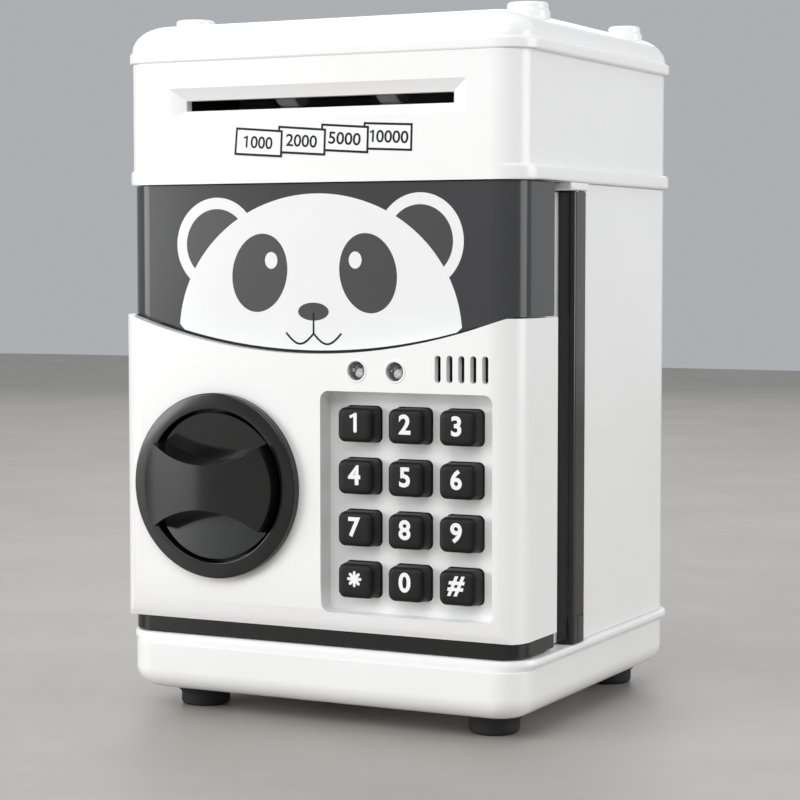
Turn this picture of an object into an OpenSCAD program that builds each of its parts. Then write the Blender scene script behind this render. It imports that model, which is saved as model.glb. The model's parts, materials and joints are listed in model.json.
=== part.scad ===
// Toy cash machine money box: a white cabinet with a thick front door that
// carries a keypad, a knob lock and a printed face, and a bill feeder on top.
//
// Every module is drawn with Y = 0 on the cabinet's front plane and Y growing
// towards the back, so a Y value is a depth t behind the front. place() then
// moves the piece so that the whole model's box is centred on X = Y = 0 and
// the feet stand on Z = 0.

/* [Cabinet] */
// Width of the cabinet across its flat sides
body_w = 126; // [124:0.5:128]
// Depth of the cabinet from its front plane to its back
body_d = 115; // [113:0.5:118]
// Radius of the upright corners, seen from above
corner_r = 9; // [8:0.5:9.5]
// Wall thickness of the moulded shells
wall = 2.2; // [2:0.1:2.4]
// How far the beads round the cabinet stand out
bead = 1.6; // [1.2:0.1:1.8]

/* [Heights] */
// How far the feet reach below the level that the other heights are measured from
lift = 1.3; // [0.5:0.1:2]
// Underside of the base
foot_h = 5.2; // [4.5:0.1:6]
// Top of the base
base_top = 22; // [21.5:0.1:22.5]
// Underside of the upper housing
housing_z = 151.3; // [150.5:0.1:152]
// Underside of the lid's lip
lip_z = 185.9; // [185:0.1:187]
// Height of the lid above its lip's underside
lid_h = 11.6; // [10.5:0.1:12]
// Height of the four round pads on the lid
pad_h = 2.8; // [2:0.1:4]

/* [Door] */
// Depth of the door behind the front plane
door_depth = 24.5; // [24:0.1:25]
// How far the white door panel stands in front of the front plane
door_proud = 3; // [2.5:0.1:3.5]
// How far the dark face panel lies behind the front plane
face_inset = 0.8; // [0.5:0.1:1]
// Lowest point of the curved seam between the two panels
seam_z = 103.9; // [103.5:0.1:104.5]
// Radius of the curved seam
seam_r = 175.7; // [170:0.1:180]

/* [Knob] */
// Knob centre, sideways
knob_x = -29.2; // [-30:0.1:-28.5]
// Knob centre, height
knob_z = 66.1; // [65.5:0.1:67]
// Outer radius of the knob's bezel
ring_r = 26.3; // [26:0.1:27]
// Radius of the turning part
rotor_r = 20.7; // [20.3:0.1:21]
// How far the middle of the grip stands in front of the door panel
grip_proud = 9.3; // [8.5:0.1:10]
// Teeth of the pinion on the knob's shaft
pinion_teeth = 12; // [12:1:12]
// Module of the pinion and rack
rack_module = 0.8; // [0.8:0.1:0.8]

/* [Keypad] */
// Keypad recess centre, sideways
keypad_x = 29.9; // [29.5:0.1:30.3]
// Keypad recess centre, height
keypad_z = 63; // [62.5:0.1:63.5]
// Keypad recess width
keypad_w = 52.2; // [51.5:0.1:53]
// Keypad recess height
keypad_h = 61.6; // [61:0.1:62.5]
// Depth of the keypad recess
keypad_depth = 6; // [5.5:0.1:6.2]
// Key width
key_w = 11; // [10.5:0.1:11.5]
// Key height
key_h = 9.7; // [9.3:0.1:10.2]
// Distance between keys, sideways
key_pitch_x = 15.5; // [15:0.1:15.8]
// Distance between keys, up and down
key_pitch_z = 14.4; // [14:0.1:14.6]
// How far a key travels
key_travel = 1.5; // [1.2:0.1:1.6]

/* [Bill slot and feeder] */
// Width of the bill slot
slot_w = 84.4; // [82:0.1:86]
// Height of the bill slot
slot_h = 3; // [2.6:0.1:3.4]
// Height of the slot's middle above the table
slot_z = 173.5; // [173:0.1:174]
// Radius of the feed rollers
roller_r = 6; // [5.8:0.1:6.1]
// Width of the feed rollers
roller_w = 6.4; // [6:0.1:7]

/* [Hidden] */
KEY_NODES = ["key_1", "key_2", "key_3", "key_4", "key_5", "key_6", "key_7", "key_8",
    "key_9", "key_star", "key_0", "key_hash"];
$fn = 64;

half_w = body_w / 2;
eps = 1;                                   // overshoot of a cutting solid
gap = 0.3;                                 // gap between pieces that move past each other
running = 0.05;                            // radial clearance of a shaft in its bore

// place(): the model's box is centred on the origin, knob and rear bead included
grip_front = door_proud + grip_proud;
front_y = grip_front - (body_d + bead + grip_front) / 2;

// Base
floor_z = foot_h + wall;                   // upper side of the tray's floor
base_fillet = 6;
foot_x = 47;
foot_t = [18.8, body_d - 10.8];
foot_r = 7.2;
foot_flare_r = 8.2;
bay_x = 27.5;                              // battery bay, inside
bay_t = [48.5, 93.5];
bay_wall = 2;
bay_top = 25.6;
battery_r = 7.1;
battery_l = 50.5;
battery_pitch = 15;
cover_x = 30;
cover_t = [46, 102.5];
cover_thick = 1.4;
cover_screw_t = 98.8;
screw_r = 1.5;
screw_head_r = 3;
case_screw_at = [[-56, 34], [56, 54], [-56, 90], [56, 90]];
boss_r = 3.6;
boss_top = 50;

// Hinge
bar_x = [59.6, half_w + bead];             // inner and outer face of the hinge bar
bar_front = 33;
hinge_x = half_w - 1.6;
hinge_t = 40.5;
bar_r = (bar_x[1] - bar_x[0]) / 2;
bar_back_x = (bar_x[0] + bar_x[1]) / 2;    // middle of the bar's round back edge
bar_z = [base_top + gap, housing_z - 2.6];
rod_r = 1.3;
rod_z0 = 13.4;
rod_z1 = housing_z + 6;
wall_front = hinge_t + bar_r + bar_back_x - hinge_x + 1.1;       // front edge of the right wall, behind the bar
ear_x = 57;
leaf_x = [57.9, bar_x[0]];

// Door
panel_x = half_w + 0.3;
face_x = half_w - face_inset;
door_top = housing_z - gap;
strip_z = [base_top + 0.6, 26.9];
side_seam_z = seam_z + 10.3;
floor_t = keypad_depth - door_proud;       // front of the keypad recess's floor
floor_back = floor_t + 2;
box_x = [-53.4, 44];                       // raised box on the back of the door
box_z = [56, 112];
box_t = 35;
led_x = [15.1, 26.9];
led_z = 99.5;
led_r = 2.5;
led_flange_r = 2.9;
speaker_x = 46.9;
speaker_z = 100.5;
speaker_pitch = 3.52;
door_screw_at = [[-54, 36], [-2, 36], [-50, 141], [50, 141]];
board_t = 8.9;

// Knob, pinion and bolt
cup_r = 21.8;
grip_half = 6.3;                           // half of the grip's height at its waist
grip_barrel_r = 72;
scoop_r = 31;
shaft_r = 4;
pinion_t = [27, 32];
pinion_pitch_r = pinion_teeth * rack_module / 2;
pin_r = 2.5;                               // thin end of the shaft, under the pinion
bolt_t = pinion_t;
guide_x = [[-51.6, -46.5], [-21.5, -17.5]];
bolt_travel = pinion_pitch_r * PI / 2;     // a quarter turn
bolt_tip = -51.85;
bolt_end = -16;
rack_line = knob_z + pinion_pitch_r;
bolt_z = [rack_line + 1, rack_line + 6.1];
lock_x = -40;                              // lock pin above the bolt
lock_r = 2;
lock_travel = 2.6;
lock_tip = bolt_z[1] + 0.4;

// Bill feeder
roller_t = 11.3 + roller_r;
roller_x = 16.1;
nip = 0.05;                                // half of the gap between the rollers
drive_z = slot_z - roller_r - nip;
idler_z = slot_z + roller_r + nip;
feed_shaft_r = 1.5;
plate_x = [46, 48];
gear_module = 0.5;
gear_teeth = 36;
motor_teeth = 12;
gear_centres = (gear_teeth + motor_teeth) * gear_module / 2;
motor_down = 6;
motor_z = drive_z - motor_down;
motor_t = roller_t + sqrt(pow(gear_centres, 2) - pow(motor_down, 2));
mesh_angle = atan2(motor_z - drive_z, motor_t - roller_t);
motor_r = 7.5;
bill_drop_t = [42, 68];
pad_x = 53.5;
pad_t = [25.5, body_d - 16.5];
pad_r = [5.7, 4.8];                        // front and rear pads
coin_t = 78;
coin_l = 36;
coin_w = 3.6;
deck_top = housing_z + 2;

// ---------------------------------------------------------------- helpers

module place() translate([0, front_y, lift]) children();

module block(x, t, z)
    translate([x[0], t[0], z[0]]) cube([x[1] - x[0], t[1] - t[0], z[1] - z[0]]);

// Rounded rectangle seen from above
module plan(x, t, r) {
    translate([-x + r, t[0]]) square([2 * (x - r), t[1] - t[0]]);
    translate([-x, t[0] + r]) square([2 * x, t[1] - t[0] - 2 * r]);
    for (sx = [-1, 1], tc = [t[0] + r, t[1] - r])
        translate([sx * (x - r), tc]) circle(r);
}

module slab(x, t, r, z) translate([0, 0, z[0]]) linear_extrude(z[1] - z[0]) plan(x, t, r);

module rod_x(x, t, z, r) translate([x[0], t, z]) rotate([0, 90, 0]) cylinder(r = r, h = x[1] - x[0]);
module rod_y(x, t, z, r) translate([x, t[0], z]) rotate([-90, 0, 0]) cylinder(r = r, h = t[1] - t[0]);
module rod_z(x, t, z, r) translate([x, t, z[0]]) cylinder(r = r, h = z[1] - z[0]);

// Outline drawn in X and Z, extruded along the depth
module along(t) translate([0, t[1], 0]) rotate([90, 0, 0]) linear_extrude(t[1] - t[0]) children();
// Outline drawn in depth and Z, extruded along X
module across(x) translate([x[0], 0, 0]) rotate([90, 0, 90]) linear_extrude(x[1] - x[0]) children();

module rounded(w, h, r) {
    square([w - 2 * r, h], center = true);
    square([w, h - 2 * r], center = true);
    for (sx = [-1, 1], sy = [-1, 1]) translate([sx * (w / 2 - r), sy * (h / 2 - r)]) circle(r);
}

// Flat box whose front corners are round and whose back is square
module door_slab(x, t, r, z) intersection() {
    slab(x, [t[0], t[1] + 2 * r], r, z);
    block([-x - eps, x + eps], [t[0] - eps, t[1]], [z[0] - eps, z[1] + eps]);
}

// Involute spur gear, one tooth pointing along +X
function involute(a) = tan(a) * 180 / PI - a;
function polar(r, a) = [r * cos(a), r * sin(a)];

module gear2d(teeth, m, slack) {
    pitch_r = teeth * m / 2;
    base_r = pitch_r * cos(20);
    tip_r = pitch_r + 0.7 * m;
    root_r = pitch_r - m;
    half_pitch = 90 / teeth - slack / pitch_r * 90 / PI;
    start_r = max(base_r, root_r);
    radii = [for (i = [0:5]) start_r + (tip_r - start_r) * i / 5];
    function half(r) = half_pitch + involute(20) - involute(acos(base_r / r));
    polygon([for (i = [0:teeth - 1]) let (c = 360 * i / teeth) each concat(
        [polar(root_r, c - half(start_r))],
        [for (r = radii) polar(r, c - half(r))],
        [for (k = [5:-1:0]) polar(radii[k], c + half(radii[k]))],
        [polar(root_r, c + half(start_r))])]);
}

// ---------------------------------------------------------------- cabinet

// Outer shape of the base: round lower edge
module tray_outer() hull() {
    for (a = [0:22.5:90]) {
        inset = base_fillet * (1 - sin(a));
        low = foot_h + base_fillet * (1 - cos(a));
        slab(half_w - inset, [inset, body_d - inset], max(corner_r - inset, 3), [low, low + 0.1], $fn = 32);
    }
    slab(half_w, [0, body_d], corner_r, [base_top - 0.1, base_top], $fn = 32);
}

module base_tray() color("white") place() difference() {
    union() {
        difference() {
            tray_outer();
            slab(half_w - wall, [wall, body_d - wall], corner_r - wall, [floor_z, base_top + eps]);
        }
        difference() {
            slab(half_w + bead, [0, body_d + bead], corner_r + bead, [base_top - 2, base_top]);
            slab(half_w - wall, [wall, body_d - wall], corner_r - wall, [floor_z, base_top + eps]);
        }
        block([-bay_x - bay_wall, bay_x + bay_wall], [bay_t[0] - bay_wall, bay_t[1] + bay_wall],
            [foot_h, bay_top]);
        block([ear_x - 1, half_w - 0.1], [hinge_t - 4.5, hinge_t + 4.5], [foot_h + base_fillet + 0.1, base_top]);
        rod_z(0, cover_screw_t, [foot_h, 17], boss_r);
        for (p = case_screw_at) rod_z(p[0], p[1], [floor_z - 0.1, base_top - 2], boss_r);
    }
    block([-bay_x, bay_x], bay_t, [foot_h - eps, bay_top - 1.6]);
    block([-cover_x - gap, cover_x + gap], [cover_t[0] - gap, cover_t[1] + gap],
        [foot_h - eps, foot_h + cover_thick]);
    rod_z(0, cover_screw_t, [foot_h - eps, 15], screw_r);
    rod_z(hinge_x, hinge_t, [rod_z0, base_top + eps], rod_r);
    for (p = case_screw_at) {
        rod_z(p[0], p[1], [foot_h - eps, base_top + eps], screw_r + 0.1);
        rod_z(p[0], p[1], [foot_h - eps, 9.4], screw_head_r + 0.1);
    }
}

module cash_floor() color("white") place() difference() {
    slab(half_w - wall - 0.2, [wall + 0.2, body_d - wall - 0.2], corner_r - wall, [base_top - 2, base_top]);
    block([-bay_x - bay_wall - 0.2, bay_x + bay_wall + 0.2],
        [bay_t[0] - bay_wall - 0.2, bay_t[1] + bay_wall + 0.2], [base_top - 3, base_top + eps]);
    block([ear_x - 1.2, half_w], [hinge_t - 4.7, hinge_t + 4.7], [base_top - 3, base_top + eps]);
    for (p = case_screw_at) rod_z(p[0], p[1], [base_top - 3, base_top + eps], screw_r + 0.1);
}

module body_shell() color("white") place() difference() {
    union() {
        difference() {
            slab(half_w, [-2 * corner_r, body_d], corner_r, [base_top, housing_z]);
            slab(half_w - wall, [-3 * corner_r, body_d - wall], corner_r - wall,
                [base_top - eps, housing_z + eps]);
            block([-body_w, body_w], [-body_d, door_depth + gap], [base_top - eps, housing_z + eps]);
            block([0, body_w], [-body_d, wall_front], [base_top - eps, housing_z + eps]);
        }
        block([ear_x, half_w], [wall_front, wall_front + wall], [base_top, housing_z]);
        for (p = case_screw_at) {
            rod_z(p[0], p[1], [base_top, boss_top], boss_r);
            block([min(p[0], sign(p[0]) * (half_w - 1)), max(p[0], sign(p[0]) * (half_w - 1))],
                [p[1] - 1, p[1] + 1], [base_top, boss_top]);
        }
    }
    for (p = case_screw_at) rod_z(p[0], p[1], [base_top - eps, boss_top - 4], screw_r);
}

module upper_housing() color("white") place() difference() {
    union() {
        difference() {
            union() {
                slab(half_w, [0, body_d], corner_r, [housing_z, lip_z]);
                slab(half_w + bead, [0, body_d + bead], corner_r + bead, [housing_z, housing_z + 4]);
            }
            slab(half_w - wall, [wall, body_d - wall], corner_r - wall, [housing_z - eps, lip_z + eps]);
        }
        block([-slot_w / 2 - 9, slot_w / 2 + 9], [wall - 0.1, 5], [slot_z - 7.5, slot_z + 7.5]);
        block([ear_x, half_w + bead], [31, wall_front], [housing_z - 2.3, housing_z + 0.1]);
        block([ear_x, half_w - 0.1], [hinge_t - 4.5, hinge_t + 4.5], [housing_z, housing_z + 8]);
    }
    block([-slot_w / 2, slot_w / 2], [-eps, 5 + eps], [slot_z - slot_h / 2, slot_z + slot_h / 2]);
    hull() {
        block([-slot_w / 2 - 5, slot_w / 2 + 5], [-0.1, 0], [slot_z - slot_h / 2 - 2.6, slot_z + slot_h / 2 + 3.5]);
        block([-slot_w / 2, slot_w / 2], [2.2, 2.3], [slot_z - slot_h / 2, slot_z + slot_h / 2]);
    }
    rod_z(hinge_x, hinge_t, [housing_z - 3, rod_z1], rod_r);
}

// Domed lid outline, one ring for each step of its rounded edge
module dome(inset, drop, base) hull() {
    side = half_w + 0.3 - inset;
    for (a = [0:15:90]) {
        in = 9 * (1 - cos(a));
        z = lip_z + 3.2 + (lid_h - 4) * sin(a) - drop;
        slab(side - in, [inset + in, body_d + 0.3 - inset - in], max(corner_r - inset - in * 0.5, 3),
            [z, z + 0.1], $fn = 32);
    }
    slab(side - 9, [inset + 9, body_d + 0.3 - inset - 9], 4, [base, base + 0.1], $fn = 32);
    slab(side - 26, [inset + 26, body_d + 0.3 - inset - 26], 4, [lip_z + lid_h - drop - 0.1, lip_z + lid_h - drop],
        $fn = 32);
}

module lid() color("white") place() difference() {
    union() {
        difference() {
            union() {
                slab(half_w + bead, [-0.4, body_d + bead], corner_r + bead, [lip_z, lip_z + 3.3]);
                dome(0, 0, lip_z + 3.2);
            }
            dome(wall, wall, lip_z + 1);
            slab(half_w - wall, [wall, body_d - wall], corner_r - wall, [lip_z - eps, lip_z + 3.4]);
        }
        difference() {
            slab(half_w - wall - 0.4, [wall + 0.4, body_d - wall - 0.4], corner_r - wall, [lip_z - 3, lip_z + 3]);
            slab(half_w - wall - 2.4, [wall + 2.4, body_d - wall - 2.4], corner_r - wall - 2,
                [lip_z - 3 - eps, lip_z + 3 + eps]);
        }
        difference() {
            slab(half_w, [0.1, body_d], corner_r, [lip_z, lip_z + 3]);
            slab(half_w - wall - 1, [wall + 1, body_d - wall - 1], corner_r - wall, [lip_z - eps, lip_z + 3 + eps]);
        }
        for (sx = [-1, 1], i = [0:1])
            rod_z(sx * pad_x, pad_t[i], [lip_z + lid_h - 4, lip_z + lid_h + pad_h], pad_r[i]);
    }
    block([-coin_l / 2, coin_l / 2], [coin_t - coin_w / 2, coin_t + coin_w / 2], [lip_z, lip_z + lid_h + eps]);
}

module feet() color([0.15, 0.15, 0.16]) place() for (sx = [-1, 1], t = foot_t) {
    rod_z(sx * foot_x, t, [-lift, foot_h / 2], foot_r);
    rod_z(sx * foot_x, t, [foot_h / 2, foot_h], foot_flare_r);
}

module battery_cover() color("white") place() difference() {
    block([-cover_x, cover_x], cover_t, [foot_h, foot_h + cover_thick]);
    rod_z(0, cover_screw_t, [foot_h - eps, foot_h + 3], screw_r + 0.1);
    for (i = [0:4]) block([-9, 9], [cover_t[0] + 4 + 2 * i, cover_t[0] + 5 + 2 * i], [foot_h - eps, foot_h + 0.5]);
}

module battery_cover_screw() color("silver") place() difference() {
    union() {
        rod_z(0, cover_screw_t, [foot_h - 1.2, foot_h], 2.8);
        rod_z(0, cover_screw_t, [foot_h - 0.1, 14.5], screw_r);
    }
    block([-2, 2], [cover_screw_t - 0.35, cover_screw_t + 0.35], [foot_h - 2, foot_h - 0.6]);
    block([-0.35, 0.35], [cover_screw_t - 2, cover_screw_t + 2], [foot_h - 2, foot_h - 0.6]);
}

module batteries() color([0.2, 0.35, 0.6]) place() for (i = [0:2]) {
    t = bay_t[0] + battery_pitch * (i + 0.5);
    side = i % 2 == 0 ? 1 : -1;
    rod_x([-battery_l / 2 + 0.6, battery_l / 2 - 0.6], t, floor_z + battery_r, battery_r);
    rod_x([side > 0 ? battery_l / 2 - 0.7 : -battery_l / 2, side > 0 ? battery_l / 2 : -battery_l / 2 + 0.7],
        t, floor_z + battery_r, 2.7);
}

module battery_contacts() color("silver") place() for (i = [0:2], sx = [-1, 1]) {
    t = bay_t[0] + battery_pitch * (i + 0.5);
    z = floor_z + battery_r;
    block([sx > 0 ? bay_x - 0.5 : -bay_x, sx > 0 ? bay_x : 0.5 - bay_x], [t - 5.5, t + 5.5], [z - 5.5, z + 5.5]);
    rod_x([sx > 0 ? battery_l / 2 : 0.4 - bay_x, sx > 0 ? bay_x - 0.4 : -battery_l / 2], t, z,
        (i + (sx > 0 ? 0 : 1)) % 2 == 0 ? 2.5 : 3.5);
}

module case_screws() color("silver") place() for (p = case_screw_at) {
    rod_z(p[0], p[1], [7, 9.4], screw_head_r);
    rod_z(p[0], p[1], [9.3, boss_top - 5], screw_r);
}

module feeder_deck() color("white") place() difference() {
    slab(half_w - wall - 0.2, [wall + 0.2, body_d - wall - 0.2], corner_r - wall, [housing_z, deck_top]);
    block([-slot_w / 2, slot_w / 2], bill_drop_t, [housing_z - eps, deck_top + eps]);
    block([-coin_l / 2 - 0.4, coin_l / 2 + 0.4], [coin_t - 2.5, coin_t + 2.5], [housing_z - eps, deck_top + eps]);
    block([ear_x - 0.2, half_w], [30.8, hinge_t + 4.7], [housing_z - eps, deck_top + eps]);
}

module feeder_frame() color([0.12, 0.12, 0.13]) place() difference() {
    union() {
        for (sx = [-1, 1])
            block([sx > 0 ? plate_x[0] : -plate_x[1], sx > 0 ? plate_x[1] : -plate_x[0]], [6, 38],
                [deck_top, slot_z + 9]);
        block([-plate_x[0] - 0.1, plate_x[0] + 0.1], [6, 10.6], [slot_z - 3.6, slot_z - 1.7]);
        block([-plate_x[0] - 0.1, plate_x[0] + 0.1], [6, 10.6], [slot_z + 1.7, slot_z + 3.6]);
        block([-plate_x[0] - 0.1, plate_x[0] + 0.1], [6, 14], [deck_top, deck_top + 2]);
    }
    for (z = [drive_z, idler_z]) rod_x([-plate_x[1] - eps, plate_x[1] + eps], roller_t, z, 2.5);
    rod_x([plate_x[0] - eps, plate_x[1] + eps], motor_t, motor_z, 3 + running);
}

module feed_motor() color("silver") place() difference() {
    union() {
        rod_x([20, plate_x[0]], motor_t, motor_z, motor_r);
        rod_x([plate_x[0] - 0.1, plate_x[1]], motor_t, motor_z, 3);
    }
    rod_x([30, plate_x[1] + eps], motor_t, motor_z, 1 + running);
}

module shaft_bushes() color([0.75, 0.6, 0.3]) place() for (sx = [-1, 1], z = [drive_z, idler_z])
    difference() {
        rod_x([sx > 0 ? plate_x[0] : -plate_x[1], sx > 0 ? plate_x[1] : -plate_x[0]], roller_t, z, 2.5);
        rod_x([-60, 60], roller_t, z, feed_shaft_r + running);
    }

module coin_chute() color("white") place() difference() {
    block([-coin_l / 2 - 2, coin_l / 2 + 2], [coin_t - 4.2, coin_t + 4.2], [deck_top, lip_z + lid_h - wall - 1.4]);
    block([-coin_l / 2 - 0.4, coin_l / 2 + 0.4], [coin_t - 2.5, coin_t + 2.5], [deck_top - eps, lip_z + lid_h]);
}

module hinge_rod() color("silver") place() rod_z(hinge_x, hinge_t, [rod_z0, rod_z1], rod_r);

module strike_plate() color("silver") place() difference() {
    union() {
        block([wall - half_w, -55], [25.5, 26.7], [bolt_z[0] - 9, bolt_z[1] + 7]);
        block([wall - half_w, wall - half_w + 1.2], [25.5, 40], [bolt_z[0] - 9, bolt_z[1] + 7]);
    }
    block([wall - half_w - eps, wall - half_w + 2], [26.7, 33], [bolt_z[0] - 1, bolt_z[1] + 1]);
}

// ---------------------------------------------------------------- bill feeder

module drive_shaft() color("silver") place() rod_x([-50, 56], roller_t, drive_z, feed_shaft_r);
module idler_shaft() color("silver") place() rod_x([-50, 50], roller_t, idler_z, feed_shaft_r);

module rollers(z) for (sx = [-1, 1]) difference() {
    rod_x([sx * roller_x - roller_w / 2, sx * roller_x + roller_w / 2], roller_t, z, roller_r);
    rod_x([-50, 50], roller_t, z, feed_shaft_r);
}
module drive_rollers() color([0.78, 0.78, 0.78]) place() rollers(drive_z);
module idler_rollers() color([0.78, 0.78, 0.78]) place() rollers(idler_z);

module drive_gear() color([0.9, 0.88, 0.8]) place() difference() {
    across([51, 54]) translate([roller_t, drive_z]) rotate(mesh_angle) gear2d(gear_teeth, gear_module, 0.1);
    rod_x([50, 55], roller_t, drive_z, feed_shaft_r);
}
module motor_shaft() color("silver") place() rod_x([35, 55.5], motor_t, motor_z, 1);
module motor_pinion() color([0.8, 0.65, 0.35]) place() difference() {
    across([50.5, 54.5]) translate([motor_t, motor_z]) rotate(mesh_angle + 180 + 180 / motor_teeth)
        gear2d(motor_teeth, gear_module, 0.1);
    rod_x([50, 55], motor_t, motor_z, 1);
}

// ---------------------------------------------------------------- door

// Everything above the curved seam between the white and the dark panel
module above_seam(drop) union() {
    difference() {
        rod_y(0, [-20, 60], seam_z + seam_r - drop, seam_r, $fn = 256);
        block([-400, 400], [-30, 70], [side_seam_z - drop, 700]);
    }
    block([-body_w, body_w], [-20, 60], [side_seam_z - drop - 0.01, 300]);
}

module door_shell() color("white") place() difference() {
    union() {
        difference() {
            door_slab(panel_x, [-door_proud, door_depth], corner_r, [strip_z[1], side_seam_z]);
            door_slab(panel_x - wall, [wall - door_proud, 80], corner_r - wall, [strip_z[1] + 4, 300]);
            door_slab(panel_x - wall - 1, [wall, 80], corner_r - wall, [strip_z[1] - eps, strip_z[1] + 5]);
            above_seam(0);
            // the panel's lower edge falls back towards the black strip
            across([-body_w, body_w]) polygon([[-door_proud - eps, strip_z[1] - eps],
                [-door_proud - eps, strip_z[1] + 13], [-door_proud, strip_z[1] + 13],
                [-door_proud + 0.6, strip_z[1] + 6], [-door_proud + 1.6, strip_z[1] + 2],
                [-door_proud + 2.6, strip_z[1]], [-door_proud + 2.6, strip_z[1] - eps]]);
        }
        // rim that closes the step down to the dark panel
        difference() {
            intersection() {
                door_slab(panel_x - 1, [-door_proud + 1, face_inset - 0.1], corner_r - 1, [98, side_seam_z]);
                block([-panel_x + 1.5, panel_x - 1.5], [-20, 60], [0, 300]);
                above_seam(1.8);
            }
            above_seam(0);
        }
        // tub round the keypad
        block([keypad_x - keypad_w / 2 - 1.8, keypad_x + keypad_w / 2 + 1.8],
            [wall - door_proud - 0.1, floor_back],
            [keypad_z - keypad_h / 2 - 1.8, keypad_z + keypad_h / 2 + 1.8]);
        for (i = [0:1]) rod_y(door_screw_at[i][0], [wall - door_proud - 0.1, door_depth - 2.1],
            door_screw_at[i][1], 3.4);
    }
    along([-door_proud - eps, floor_t]) translate([keypad_x, keypad_z]) rounded(keypad_w, keypad_h, 2.5);
    for (i = [0:11]) along([floor_t - eps, floor_back + eps]) translate(key_at(i))
        rounded(key_w + 0.5, key_h + 0.5, 1.7);
    for (x = led_x) rod_y(x, [-door_proud - eps, wall], led_z, led_r + 0.1);
    for (i = [-2:2]) along([-door_proud - eps, wall]) translate([speaker_x + i * speaker_pitch, speaker_z])
        rounded(1.8, 7.4, 0.89);
    rod_y(knob_x, [-door_proud - eps, wall], knob_z, ring_r - 2.8);
    for (i = [0:1]) rod_y(door_screw_at[i][0], [10, door_depth], door_screw_at[i][1], screw_r);
}

module face_panel() color([0.36, 0.36, 0.37]) place() difference() {
    union() {
        difference() {
            door_slab(face_x, [face_inset, door_depth], corner_r - face_inset, [seam_z - 2, door_top]);
            slab(face_x - wall, [face_inset + wall, 80], corner_r - wall, [0, door_top - wall]);
        }
        for (i = [2:3]) rod_y(door_screw_at[i][0], [face_inset + wall - 0.1, door_depth - 2.1],
            door_screw_at[i][1], 3.4);
    }
    difference() {
        block([-body_w, body_w], [-20, 60], [0, 200]);
        above_seam(-gap);
        intersection() {
            block([2.8 - panel_x, panel_x - 2.8], [0, face_inset + wall], [0, 200]);
            above_seam(1.2);
        }
    }
    for (i = [2:3]) rod_y(door_screw_at[i][0], [10, door_depth], door_screw_at[i][1], screw_r);
}

module door_liner() color([0.13, 0.13, 0.14]) place() difference() {
    union() {
        door_slab(half_w - 0.6, [0.3, door_depth], corner_r - 1, strip_z);
        block([leaf_x[0] * -1 - 1, leaf_x[0] - gap], [door_depth - 2.1, door_depth], [strip_z[1] - 0.1, door_top - 3]);
        block(box_x, [door_depth - 0.1, box_t], box_z);
    }
    block([box_x[0] + 1.6, box_x[1] - 1.6], [door_depth - 2.1 - eps, box_t - 1.6], [box_z[0] + 1.6, box_z[1] - 1.6]);
    block([box_x[0] - eps, box_x[0] + 2], [bolt_t[0] - 0.2, bolt_t[1] + 0.2], [bolt_z[0] - 1.2, bolt_z[1] + 0.2]);
    block([leaf_x[0] - gap, half_w], [14, door_depth + eps], [strip_z[1] + eps, door_top]);
    for (p = door_screw_at) rod_y(p[0], [10, door_depth + eps], p[1], screw_r + 0.1);
}

module hinge_leaf() color("white") place() {
    block(leaf_x, [12, hinge_t - 3.5], [bar_z[0] + 6, bar_z[1]]);
    block(leaf_x, [door_depth + gap, hinge_t - 3.5], [bar_z[0], bar_z[0] + 6.1]);
}

module hinge_bar() color([0.14, 0.14, 0.15]) place() difference() {
    union() {
        block(bar_x, [bar_front + 1.5, hinge_t], bar_z);
        block([bar_x[0], bar_x[1] - 1.5], [bar_front, bar_front + 2], bar_z);
        rod_z(bar_x[1] - 1.5, bar_front + 1.5, bar_z, 1.5);
        rod_z(bar_back_x, hinge_t, bar_z, bar_r);
    }
    rod_z(hinge_x, hinge_t, [0, 200], rod_r + running);
}

module knob_ring() color([0.14, 0.14, 0.15]) place() difference() {
    union() {
        rod_y(knob_x, [-door_proud - 2.0, -door_proud], knob_z, ring_r);
        rod_y(knob_x, [-door_proud - 2.8, -door_proud], knob_z, ring_r - 0.8);
        rod_y(knob_x, [-door_proud - 0.1, 4], knob_z, ring_r - 3);
    }
    rod_y(knob_x, [-20, 2.2], knob_z, cup_r);
    rod_y(knob_x, [-20, 20], knob_z, shaft_r + running);
}

function key_at(i) = [keypad_x + (i % 3 - 1) * key_pitch_x, keypad_z + (1.5 - floor(i / 3)) * key_pitch_z];

module key_cap(i) color([0.13, 0.13, 0.13]) place() {
    along([-door_proud + 0.2, floor_back + 0.2]) translate(key_at(i)) rounded(key_w, key_h, 1.5);
    along([floor_back + 0.1, floor_back + 1.1]) translate(key_at(i)) rounded(key_w + 2.4, key_h + 2, 1.5);
}

module keypad_mat() color([0.25, 0.25, 0.25]) place() difference() {
    along([board_t - 1, board_t]) translate([keypad_x, keypad_z]) rounded(keypad_w + 2, keypad_h - 4, 2);
    for (i = [0:11]) rod_y(key_at(i)[0], [board_t - 1 - eps, board_t - 0.4], key_at(i)[1], 2);
}

module keypad_board() color([0.1, 0.35, 0.2]) place() {
    along([board_t, board_t + 1.6]) translate([keypad_x, keypad_z]) rounded(keypad_w + 2, keypad_h - 4, 1);
    for (i = [0:2]) block([keypad_x - 18 + 14 * i, keypad_x - 10 + 14 * i], [board_t + 1.5, board_t + 4],
        [keypad_z - 20, keypad_z - 12]);
}

module led(x) {
    rod_y(x, [-door_proud + 1.5, 4], led_z, led_r);
    translate([x, -door_proud + 1.5, led_z]) sphere(r = led_r);
    rod_y(x, [3, 4], led_z, led_flange_r);
}
module led_left() color([0.75, 0.78, 0.78]) place() led(led_x[0]);
module led_right() color([0.75, 0.78, 0.78]) place() led(led_x[1]);

module speaker() color([0.3, 0.3, 0.3]) place() {
    rod_y(speaker_x, [5.3, 8], speaker_z, 7.5);
    rod_y(speaker_x, [8, 11.5], speaker_z, 5);
}

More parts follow.
